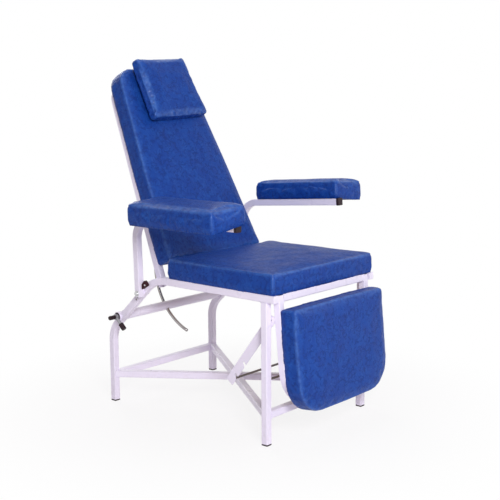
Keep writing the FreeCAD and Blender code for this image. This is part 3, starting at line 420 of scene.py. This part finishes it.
def softened(node, body, finish, width, grow=(1, 1, 1), matrix=Matrix()):
    """Copy of a node, grown about its middle, with its edges rounded by a width in mm."""
    mesh = nodes[node].data.copy()
    points = in_frame(mesh, matrix)
    middle = (points.min(0) + points.max(0)) / 2
    put_back(mesh, middle + (points - middle) * grow, matrix)
    shape = bmesh.new()
    shape.from_mesh(mesh)
    bmesh.ops.remove_doubles(shape, verts=shape.verts, dist=0.02 * MM)
    bmesh.ops.dissolve_limit(shape, angle_limit=0.02, verts=shape.verts, edges=shape.edges)
    sharp = [e for e in shape.edges if len(e.link_faces) == 2 and e.calc_face_angle() > 0.6]
    bmesh.ops.bevel(shape, geom=sharp, offset=width * MM, segments=2, profile=0.5,
                    affect="EDGES", clamp_overlap=True)
    shape.to_mesh(mesh)
    shape.free()
    piece = add_object(node + "_rounded", mesh)
    dress(piece, finish, body)
    crisp = piece.modifiers.new("crisp", "WEIGHTED_NORMAL")
    crisp.keep_sharp = True
    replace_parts(piece, node)


# Frames of the leaning and tipping parts

def leaned(at, tilt):
    """Frame of a leaning part: x across it, y up it, z out of its padded side."""
    tilt = math.radians(tilt)
    up = Vector((0, math.sin(tilt), math.cos(tilt)))
    turn = Matrix((X, up, X.cross(up))).transposed()
    return Matrix.Translation(at) @ turn.to_4x4()


def arm_tip(side, tip):
    """Turn of an armrest about its pivot bolt."""
    hinge = Matrix.Translation((side * ARM_PIVOT.x, ARM_PIVOT.y, ARM_PIVOT.z))
    return hinge @ Matrix.Rotation(math.radians(-tip), 4, "X") @ hinge.inverted()


def tipped(side, tip):
    """Frame of an armrest pad, rolled outward about its tube's outer edge."""
    roll = Matrix.Rotation(math.radians(side * ARM_ROLL), 4, "Y")
    edge = Matrix.Translation((side * ARM_EDGE.x, ARM_EDGE.y, ARM_EDGE.z))
    return arm_tip(side, tip) @ edge @ roll


BACK = leaned(BACK_HINGE, BACK_LEAN)
CALF = leaned(CALF_HINGE, CALF_LEAN)
SEAT = Matrix.Translation(SEAT_MIDDLE)
ARM_RIGHT, ARM_LEFT = tipped(-1, 0), tipped(1, LEFT_ARM_TIP)


# Cushions

def baked(piece):
    """Replace a piece's mesh by what its modifiers make of it."""
    seen = piece.evaluated_get(bpy.context.evaluated_depsgraph_get())
    mesh = bpy.data.meshes.new_from_object(seen)
    old = piece.data
    piece.modifiers.clear()
    piece.data = mesh
    bpy.data.meshes.remove(old)
    return mesh


def start_form(node, name, matrix, trim, grid):
    """Copy of the node's form as an even net, its board recess filled, trimmed in mm."""
    mesh = nodes[node].data.copy()
    points = in_frame(mesh, matrix)
    low, high = points.min(0), points.max(0)
    turn = matrix.to_3x3().inverted()
    shallow, deep = low[2] + MM, low[2] + 15 * MM
    for face in mesh.polygons:
        level = points[list(face.vertices), 2].min()
        if (turn @ face.normal).z < -0.9 and shallow < level < deep:
            points[list(face.vertices), 2] = low[2]
    middle, size = (low + high) / 2, high - low
    share = (size - np.array(trim) * (2 * MM, 2 * MM, MM)) / size
    middle[2] = low[2]
    put_back(mesh, middle + (points - middle) * share, matrix)
    piece = add_object(name, mesh)
    net = piece.modifiers.new("net", "REMESH")
    net.mode, net.voxel_size = "VOXEL", grid
    return piece, baked(piece), low, high


def swell(piece, mesh, matrix, low, slack, cap):
    """Blow the cover up a little against its board, no point further than the cap in mm."""
    points = in_frame(mesh, matrix)
    stapled = points[:, 2] < low[2] + 3.2 * MM
    held = piece.vertex_groups.new(name="stapled")
    held.add([int(i) for i in np.nonzero(stapled)[0]], 1.0, "REPLACE")
    cloth = piece.modifiers.new("cover", "CLOTH")
    cloth.settings.quality = 4
    cloth.settings.mass = 0.4
    cloth.settings.tension_stiffness = cloth.settings.compression_stiffness = 14
    cloth.settings.bending_stiffness = 0.8
    cloth.settings.use_pressure = True
    cloth.settings.uniform_pressure_force = 4
    cloth.settings.shrink_min = -slack
    cloth.settings.vertex_group_mass = "stapled"
    cloth.settings.effector_weights.gravity = 0
    cloth.collision_settings.use_collision = False
    for step in range(1, 21):
        scene.frame_set(step)
    swollen = in_frame(baked(piece), matrix)
    scene.frame_set(1)
    move = swollen - points
    length = np.linalg.norm(move, axis=1, keepdims=True)
    move *= np.minimum(1, cap * MM / np.maximum(length, 1e-9))
    put_back(piece.data, points + move, matrix)
    for group in list(piece.vertex_groups):
        piece.vertex_groups.remove(group)


def normals(mesh, matrix):
    out = np.empty(len(mesh.vertices) * 3)
    mesh.vertices.foreach_get("normal", out)
    return out.reshape(-1, 3) @ np.array(matrix.to_3x3().inverted()).T


def rise(item, start, run):
    """From 0, where the item is start, to 1 over a run."""
    return np.clip((item - start) / run, 0, 1)


def fall(item, run):
    """From 1, where the item is 0, to 0 over a run."""
    return np.clip(1 - item / run, 0, 1)


def ripple(points, length, phase):
    """Uneven waves over a surface, between -1 and 1."""
    u, v = points[:, 0] / length * 2 * math.pi, points[:, 1] / length * 2 * math.pi
    return (np.sin(u + 1.7 * np.sin(0.31 * v + phase) + phase)
            * np.cos(v + 1.3 * np.sin(0.27 * u - phase)) * 0.6
            + np.sin(0.43 * u - 0.57 * v + 2 * phase) * 0.4)


def write_mark(mesh, name, numbers):
    """Store a number for each point, which the vinyl reads by name."""
    layer = mesh.attributes.new(name, "FLOAT", "POINT")
    layer.data.foreach_set("value", np.asarray(numbers, dtype=np.float32))


def rim_distance(points, ring):
    """How far each point lies, in plan, from an outline."""
    plan = points[:, :2]
    best = np.full(len(plan), 9.0)
    for start, end in zip(ring, np.roll(ring, -1, axis=0)):
        run = end - start
        share = np.clip(((plan - start) @ run) / max(run @ run, 1e-12), 0, 1)
        best = np.minimum(best, np.linalg.norm(plan - start - share[:, None] * run, axis=1))
    return best


def plan_outline(points):
    """Outermost points of a form seen from its padded side, in order round its middle."""
    sectors = 180
    middle = (points[:, :2].min(0) + points[:, :2].max(0)) / 2
    away = points[:, :2] - middle
    angle = np.arctan2(away[:, 1], away[:, 0])
    reach = np.linalg.norm(away, axis=1)
    sector = ((angle + math.pi) / (2 * math.pi) * sectors).astype(int) % sectors
    ring = []
    for i in range(sectors):
        here = np.nonzero(sector == i)[0]
        if len(here):
            ring.append(points[here[reach[here].argmax()], :2])
    return np.array(ring)


def corner_distance(points, low, high, tall):
    """How far each point lies, in plan, from the nearest sharp upright corner of its pad."""
    square = 18 * MM                    # a tip further than this from its box corner is round
    near = np.full(len(points), 1.0)
    belt = points[(tall > 0.3) & (tall < 0.7), :2]
    for x, y in ((-1, -1), (1, -1), (1, 1), (-1, 1)):
        tip = belt[(belt @ (x, y)).argmax()]
        box = np.array((high[0] if x > 0 else low[0], high[1] if y > 0 else low[1]))
        if np.linalg.norm(tip - box) < square:
            near = np.minimum(near, np.linalg.norm(points[:, :2] - tip, axis=1))
    return near


def turn_in(points, out, low, board):
    """Wrap the cover round its board: a margin under the board, the rest up inside it."""
    margin, inner_lift, crease, skin = 24 * MM, 4 * MM, 0.35 * MM, 0.9 * MM
    tall = points[:, 2] - low[2]
    flat = (out[:, 2] < -0.5) & (tall < 6 * MM)
    inside = rim_distance(points, plan_outline(points[tall < 9 * MM]))
    edge = margin * (1 + 0.10 * ripple(points, 0.05, 0.4))
    under = board - skin
    points[:, 2] -= fall(tall, 0.012) * (low[2] - under) * ~flat
    points[flat, 2] = np.where(inside[flat] < edge[flat], under, low[2] + inner_lift)
    folded = flat & (inside < edge)
    points[folded, 2] -= crease * np.abs(ripple(points[folded], 0.012, 1.1))
    return points


def cushion(node, name, body, matrix, *, grid=0.0055, trim=(0, 0, 0), slack=0.006, cap=3.0,
            pucker=0.55, crisp=3.0, board=0.0, shape=None):
    """Stuffed piece for a padded node, with gathers at its sides and sewn corners.

    The trim, cap, pucker, crisp and board are in mm. The board is the level of its
    underside, and the shape is a last change to the points.
    """
    piece, mesh, low, high = start_form(node, name, matrix, trim, grid)
    swell(piece, mesh, matrix, low, slack, cap)
    net = piece.modifiers.new("finer", "SUBSURF")
    net.levels = net.render_levels = 1
    mesh = baked(piece)
    points, out = in_frame(mesh, matrix), normals(mesh, matrix)
    tall = (points[:, 2] - low[2]) / (high[2] - low[2])
    lean = np.abs(out[:, 2])            # 0 on an upright side, 1 on the flat top
    side, free = fall(lean, 0.75), rise(tall, 0.06, 0.2)
    rim = np.clip(4 * lean ** 2 * (1 - lean ** 2), 0, 1) ** 2 * (out[:, 2] > 0) * free
    gather = ripple(points, 0.034, 0.7) * side * free * (0.35 + 0.65 * np.clip(tall, 0, 1))
    top = ripple(points, 0.15, 2.1) * rise(out[:, 2], 0.8, 0.2) * 0.72
    near = corner_distance(points, low, high, tall)
    fold = fall(near, 0.010) * side
    rim = np.maximum(rim, fall(near, 0.006) * side * free)
    points += out * ((gather * pucker + top + np.maximum(rim, fold) * crisp) * MM)[:, None]
    if board is not None:
        points = turn_in(points, out, low, board * MM)
    if shape:
        points = shape(points, low, high)
    # The vinyl paints a highlight along the rim mark and shade in the groove of the seam mark.
    write_mark(mesh, "rim", rim)
    write_mark(mesh, "seam", fall(near, 0.02) * side)
    write_mark(mesh, "run", points[:, 2])
    put_back(mesh, points, matrix)
    dress(piece, "blue_vinyl", body)
    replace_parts(piece, node)


def lifted(points, low, high):
    """Slack edge of the head pillow, standing off the back on the sitter's right."""
    lift, creases, lean_out = 9 * MM, 1.6 * MM, 2 * MM
    share = (points[:, 0] - low[0]) / (high[0] - low[0])
    tall = np.clip((points[:, 2] - low[2]) / (high[2] - low[2]), 0, 1)
    away = fall(share, 0.5) ** 2
    crease = ripple(points, 0.021, 1.3) * fall(share, 0.14) * (1 - tall)
    points[:, 0] -= (1 - tall) * fall(share, 0.2) * lean_out
    points[:, 2] += away * lift + crease * creases
    return points


def sagging(side):
    """Drop the outer lower edge of an armrest cover below its board."""
    drop, pad_reach = 7 * MM, 0.10

    def shape(points, low, high):
        reach = np.clip(points[:, 0] * side / pad_reach, 0, 1)
        tall = (points[:, 2] - low[2]) / (high[2] - low[2])
        points[:, 2] -= reach * fall(tall, 0.5) * drop
        return points
    return shape


def make_cushions():
    cushion("seat_cushion", "seat_pad", "base", SEAT, grid=0.006, trim=(-1.5, -1.5, 0),
            board=-2.5)
    cushion("back_pad", "back_rest_pad", "backrest", BACK, grid=0.006, trim=(0, 0, 1.5),
            board=12.5)
    cushion("calf_pad", "calf_rest_pad", "calf_rest", CALF, trim=(-2.5, -3, 1), board=12.5)
    for name, side, matrix in (("right", -1, ARM_RIGHT), ("left", 1, ARM_LEFT)):
        cushion("arm_pad_" + name, "elbow_pad_" + name, "armrest_" + name, matrix,
                grid=0.005, trim=(-2, -4, -2.5), pucker=0.5, shape=sagging(side))
    cushion("head_pillow", "neck_pillow", "backrest", BACK, grid=0.0045, trim=(0, 0, 1.5),
            slack=0.018, cap=4.0, pucker=0.9, crisp=2.0, board=None, shape=lifted)


# Rods and fittings

def make_arc_rod():
    """Polished rod round the back hinge, domed at its free end."""
    off_middle, bend, radius, steps = -0.040, 0.24521, 6, 96
    first, last = -71.4, 62.2           # degrees up from level, behind the hinge
    rod = Stock()
    centre = BACK_HINGE + X * off_middle
    points = []
    for step in range(steps + 1):
        angle = math.radians(first + (last - first) * step / steps)
        points.append(centre + (Y * math.cos(angle) + Z * math.sin(angle)) * bend)
    rod.swept(points, X, radius, sides=24)
    ahead = points[0] - points[1]
    rod.turned(points[0], ahead, [(0, radius), (0.8, 5.9), (2, 5.1), (2.9, 3.4), (3.2, 1.2)])
    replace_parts(rod.made("recline_rod", "bright_rod", "backrest"), "arc_rod")


def weld_bead(stock, points, along):
    radius = 1.9
    stock.swept(points, along, radius, sides=6, closed=True, wave=0.3)


def square_weld(stock, at, along, up):
    """Rippled bead round the end of a square tube."""
    across, steps = up.cross(along), 16
    corners = [(-1, -1), (1, -1), (1, 1), (-1, 1)]
    points = []
    for i, (a, b) in enumerate(corners):
        c, d = corners[(i + 1) % 4]
        for step in range(steps):
            share = step / steps
            u, v = a + (c - a) * share, b + (d - b) * share
            points.append(at + (across * u + up * v) * HALF_TUBE * MM)
    weld_bead(stock, points, along)


def round_weld(stock, at, along, radius):
    u, steps = along.orthogonal().normalized(), 64
    weld_bead(stock, ring_round(at, u, along.cross(u), radius * MM, steps), along)


def make_welds():
    """Beads where the tubes of the frame, the back and the calf rest meet."""
    rail, face, calf_face = 0.26915, 0.2565, 0.2265         # distances from the middle
    front_leg, rear_leg, low_rails = -0.3668, 0.3867, 0.103
    seat_rails, seat_level, leg_top = (-0.2843, 0.0207), 0.4965, 0.4838
    cross_tube, cross_radius = Vector((0.2568, 0.3418, 0.3350)), 17
    braces_meet = Vector((0, 0.00995, 0.105))
    base, back, calf = Stock(), Stock(), Stock()
    for side in (-1, 1):
        square_weld(base, Vector((side * rail, front_leg, leg_top)), Z, Y)
        for y in (front_leg, rear_leg):
            square_weld(base, Vector((side * face, y, low_rails)), X, Z)
        for y in seat_rails:
            square_weld(base, Vector((side * face, y, seat_level)), X, Z)
        round_weld(base, Vector((side * cross_tube.x, *cross_tube.yz)), X, cross_radius)
        square_weld(calf, CALF_HINGE + X * side * calf_face, X, Y)
        for reach, half in ((LOWER_BAR, 0.2013), (UPPER_BAR, 0.1666)):
            spot = BACK @ Vector((side * half, reach * MM, 0))
            square_weld(back, spot, X, BACK.to_3x3() @ Y)
    square_weld(base, braces_meet, X, Z)
    base.made("frame_welds", "white_paint", "base")
    back.made("back_welds", "white_paint", "backrest")
    calf.made("calf_welds", "white_paint", "calf_rest")


def bolt_head(stock, at, along, height):
    """Six-sided head with a rounded crown on a washer, in mm."""
    size = 8.5
    washer, seat = size + 2.2, 1.2
    stock.turned(at, along, [(-0.2, washer), (1.0, washer), (seat, size + 1.9)], sides=32)
    stock.turned(at, along, [(seat, size * 0.93), (1.4, size), (height - 0.8, size),
                             (height, size * 0.86)], sides=6)
    stock.turned(at, along, [(height - 0.1, size * 0.80), (height + 0.3, size * 0.74),
                             (height + 0.5, size * 0.4)])


def dome(stock, at, along, radius, height):
    """Rounded rivet head, in mm."""
    stock.turned(at, along, [(-0.3, radius), (height * 0.3, radius),
                             (height * 0.75, radius * 0.82), (height * 0.95, radius * 0.5),
                             (height, radius * 0.15)])


def screw(stock, at, along):
    """Pan head on a thin washer, with a round recess, in mm."""
    radius = 4.6
    washer = radius + 3
    stock.turned(at, along, [(-0.3, washer), (0.9, washer), (1.0, radius + 2.6)], sides=28)
    stock.turned(at, along, [(0.8, radius), (2.2, radius * 0.96), (3.1, radius * 0.74),
                             (3.3, radius * 0.5), (2.0, radius * 0.42)])


def make_armrest_fittings():
    """Bolt heads at each armrest's pivot, and a riveted plate further down its diagonal."""
    outer, inner = 0.30705, 0.25635                         # where the heads sit, across
    bolt_level, foot_level = 0.44198, 0.4443
    slope, plate = math.radians(43), 2.2
    outline = [(21, -11), (44, -11), (47.5, -7), (47.5, 4), (44, 8), (33, 8), (26, 1.5),
               (21, -4)]                                    # down and up the diagonal, mm
    down = Vector((0, math.cos(slope), -math.sin(slope)))
    up = Vector((0, math.sin(slope), math.cos(slope)))
    bolts, tabs, rivets = Stock(), Stock(), Stock()
    for side in (-1, 1):
        bolt_head(bolts, Vector((side * outer, ARM_PIVOT.y, bolt_level)), X * side, 6)
        bolt_head(bolts, Vector((side * inner, ARM_PIVOT.y, bolt_level)), X * -side, 5)
        foot = Vector((side * FRAME_FACE, ARM_PIVOT.y, foot_level))

        def spot(a, b, out):
            return foot + (down * a + up * b + X * side * out) * MM

        tabs.skin([[spot(a, b, out) for a, b in outline] for out in (0.0, plate)])
        for a, b in ((31, -2), (42.5, -3)):
            dome(rivets, spot(a, b, plate), X * side, 3.6, 2.0)
    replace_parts(bolts.made("armrest_bolts", "plated_steel", "base"), "arm_bolts")
    tabs.made("armrest_tabs", "white_paint", "base", smooth=False)
    rivets.made("armrest_tab_rivets", "dark_steel", "base")


def make_board_screws():
    """Rows of screws through the back's bars and the calf rest's top bar."""
    under_tube = -12.7 * MM
    for name, body, matrix, rows in (
            ("back", "backrest", BACK, ((LOWER_BAR, 150), (UPPER_BAR, 110))),
            ("calf", "calf_rest", CALF, ((0, 170),))):
        screws = Stock()
        for reach, spread in rows:
            for x in (-spread, 0, spread):
                at = matrix @ Vector((x * MM, reach * MM, under_tube))
                screw(screws, at, matrix.to_3x3() @ -Z)
        screws.made(name + "_screws", "plated_steel", body)


def make_caps():
    """Plugs, caps and knobs with rounded edges; the armrests' stand proud of their tubes."""
    for node, body, finish, width in (
            ("foot_plugs", "base", "black_plastic", 0.9),
            ("rail_end_caps", "base", "white_paint", 0.6),
            ("lever_cap", "recline_lever", "black_plastic", 4.2),
            ("lever_knob", "recline_lever", "black_plastic", 2.2)):
        softened(node, body, finish, width)
    for name, tip in (("right", 0), ("left", LEFT_ARM_TIP)):
        softened("arm_end_cap_" + name, "armrest_" + name, "black_plastic", 1.8,
                 grow=(1.10, 3.6, 1.10), matrix=arm_tip(1, tip))


def make_arm_stops():
    """Rubber blocks that the armrest posts lean on, each held by one bright rivet."""
    outline = [(196.9, 457.2), (196.9, 476.5), (184.5, 490.0), (182.5, 490.0),
               (169.8, 475.6), (170.0, 473.6)]              # back and up, in mm
    middle, shrink = (184, 474), 0.93
    inner = [tuple((p - m) * shrink + m for p, m in zip(spot, middle)) for spot in outline]
    levels = ((FRAME_FACE, outline), (0.2946, outline), (0.2957, inner))
    rivets = Stock()
    for name, side in (("right", -1), ("left", 1)):
        block = Stock()
        block.skin([[Vector((side * x, y * MM, z * MM)) for y, z in ring]
                    for x, ring in levels])
        piece = block.made("arm_stop_block_" + name, "black_rubber", "base", smooth=False)
        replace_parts(piece, "arm_stop_" + name)
        dome(rivets, Vector((side * levels[-1][0], 0.1795, 0.4752)), X * side, 3.4, 1.6)
    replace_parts(rivets.made("arm_stop_rivet_heads", "plated_steel", "base"), "arm_stop_rivets")


# Floor and light

def make_floor():
    """White disc that takes the chair's shadow and fades into the white surround."""
    radius, sides, level = 5.0, 64, Vector((0, 0, -0.0004))
    verts = [level] + ring_round(level, X, Y, radius, sides)
    faces = [(0, i + 1, (i + 1) % sides + 1) for i in range(sides)]
    mesh = bpy.data.meshes.new("floor")
    mesh.from_pydata(verts, [], faces)
    f = Finish("floor_white", Roughness=0.85, **{"Base Color": (0.93, 0.89, 0.92)})
    glow = f.node("Emission", None, {"Color": (1, 1, 1), "Strength": 1.0})
    reach = f.node("VectorMath", {"operation": "LENGTH"}, {0: f.spot}, out="Value")
    fade = f.ease(reach, 0.35, 1.2, 0.84, 1.0)
    seen = f.seen_by("Camera", "Glossy")
    f.feed(f.shown, f.node("MixShader", None, {0: seen * fade, 1: f.shader, 2: glow}))
    mesh.materials.append(f.material)
    add_object("floor", mesh)


def lamp(name, at, target, size, power):
    light = bpy.data.lights.new(name, "AREA")
    light.shape, light.size, light.energy = "DISK", size, power
    stand = add_object(name, light)
    stand.location = at
    stand.rotation_euler = (Vector(target) - Vector(at)).to_track_quat("-Z", "Y").to_euler()


def make_light():
    """Soft surround that looks white to the camera, and four lamps."""
    world = bpy.data.worlds.new("studio")
    scene.world = world
    world.use_nodes = True
    sky = NodeTree(world.node_tree)
    soft = sky.node("Background", None, {"Color": (1.0, 0.92, 0.95), "Strength": 0.22})
    white = sky.node("Background", None, {"Color": (1, 1, 1)})
    seen = sky.seen_by("Camera", "Glossy", "Transmission")
    sky.ends_in("World", sky.node("MixShader", None, {0: seen, 1: soft, 2: white}))
    lamp("key", (-2.45, -3.3, 2.3), (0, 0, 0.6), 1.5, 132)
    lamp("fill", (2.2, -3.2, 1.6), (0, 0, 0.5), 2.2, 20)
    lamp("top", (0.1, 0.3, 3.4), (0, 0, 0.5), 2.0, 16)
    lamp("rear", (1.3, 3.6, 2.0), (0, 0, 0.6), 2.0, 42)
    scene.view_settings.view_transform = "Standard"


place_camera()
make_light()
make_floor()
slots = {part["node"]: part["material_slot"] for part in frame["record"]["subparts"]}
for name, node in nodes.items():
    for place in node.material_slots:
        # The arm boards' long grain runs the other way
        place.material = FINISHES["plywood_long" if name.startswith("arm_board") else slots[name]]
make_cushions()
make_arc_rod()
make_welds()
make_armrest_fittings()
make_board_screws()
make_caps()
make_arm_stops()
